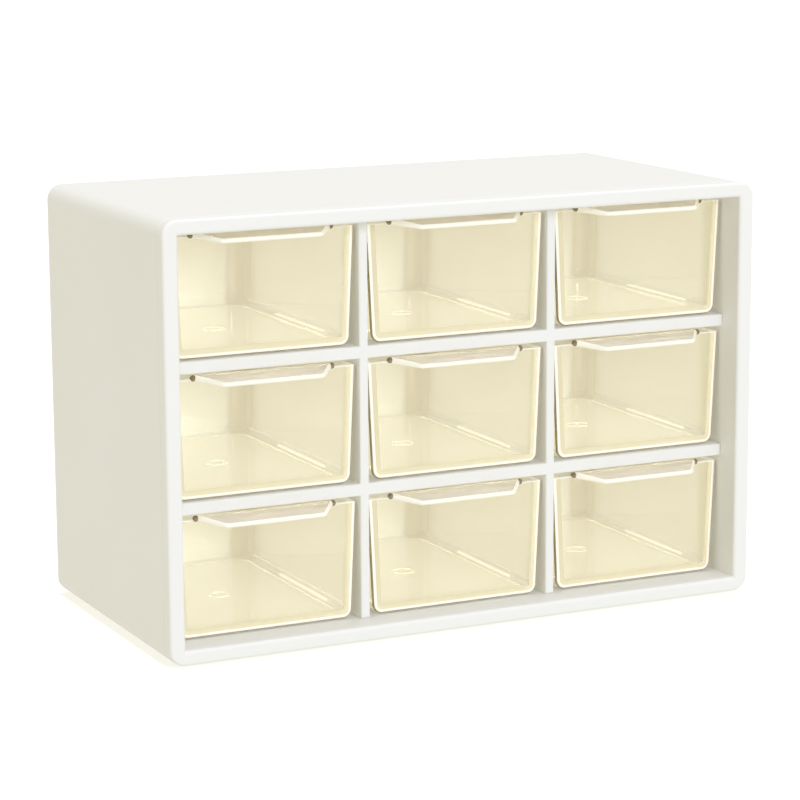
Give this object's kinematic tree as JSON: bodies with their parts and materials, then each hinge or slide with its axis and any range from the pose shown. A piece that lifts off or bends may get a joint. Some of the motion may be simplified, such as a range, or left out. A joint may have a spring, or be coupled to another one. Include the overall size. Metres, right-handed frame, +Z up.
{
  "type": "desktop drawer organizer",
  "caption": "Desktop organizer: a rounded off-white moulded housing with rows of clear tinted tub drawers, each with a sloping lip to pull it by.",
  "frame": {"origin": "on the table under the middle of the housing", "axes": "+X to the right seen from the front, -Y out of the front, +Z up"},
  "size_m": [0.184, 0.092, 0.1228],
  "materials": {
    "housing_plastic": "satin, off-white",
    "tinted_clear_plastic": "clear, pale amber",
    "pad_rubber": "matte"
  },
  "bodies": {
    "housing": {"outer_casing": "housing_plastic", "front_frame": "housing_plastic", "partition_grid": "housing_plastic", "foot_pad_front_left": "pad_rubber", "foot_pad_front_right": "pad_rubber", "foot_pad_back_left": "pad_rubber", "foot_pad_back_right": "pad_rubber"},
    "drawer_bottom_left_body": {"drawer_bottom_left": "tinted_clear_plastic"},
    "drawer_bottom_centre_body": {"drawer_bottom_centre": "tinted_clear_plastic"},
    "drawer_bottom_right_body": {"drawer_bottom_right": "tinted_clear_plastic"},
    "drawer_middle_left_body": {"drawer_middle_left": "tinted_clear_plastic"},
    "drawer_middle_centre_body": {"drawer_middle_centre": "tinted_clear_plastic"},
    "drawer_middle_right_body": {"drawer_middle_right": "tinted_clear_plastic"},
    "drawer_top_left_body": {"drawer_top_left": "tinted_clear_plastic"},
    "drawer_top_centre_body": {"drawer_top_centre": "tinted_clear_plastic"},
    "drawer_top_right_body": {"drawer_top_right": "tinted_clear_plastic"}
  },
  "joints": [
    {"name": "drawer_bottom_left_slide", "type": "slide", "parent": "housing", "child": "drawer_bottom_left_body", "axis": [0, -1, 0], "range_m": [0, 0.06]},
    {"name": "drawer_bottom_centre_slide", "type": "slide", "parent": "housing", "child": "drawer_bottom_centre_body", "axis": [0, -1, 0], "range_m": [0, 0.06]},
    {"name": "drawer_bottom_right_slide", "type": "slide", "parent": "housing", "child": "drawer_bottom_right_body", "axis": [0, -1, 0], "range_m": [0, 0.06]},
    {"name": "drawer_middle_left_slide", "type": "slide", "parent": "housing", "child": "drawer_middle_left_body", "axis": [0, -1, 0], "range_m": [0, 0.06]},
    {"name": "drawer_middle_centre_slide", "type": "slide", "parent": "housing", "child": "drawer_middle_centre_body", "axis": [0, -1, 0], "range_m": [0, 0.06]},
    {"name": "drawer_middle_right_slide", "type": "slide", "parent": "housing", "child": "drawer_middle_right_body", "axis": [0, -1, 0], "range_m": [0, 0.06]},
    {"name": "drawer_top_left_slide", "type": "slide", "parent": "housing", "child": "drawer_top_left_body", "axis": [0, -1, 0], "range_m": [0, 0.06]},
    {"name": "drawer_top_centre_slide", "type": "slide", "parent": "housing", "child": "drawer_top_centre_body", "axis": [0, -1, 0], "range_m": [0, 0.06]},
    {"name": "drawer_top_right_slide", "type": "slide", "parent": "housing", "child": "drawer_top_right_body", "axis": [0, -1, 0], "range_m": [0, 0.06]}
  ]
}
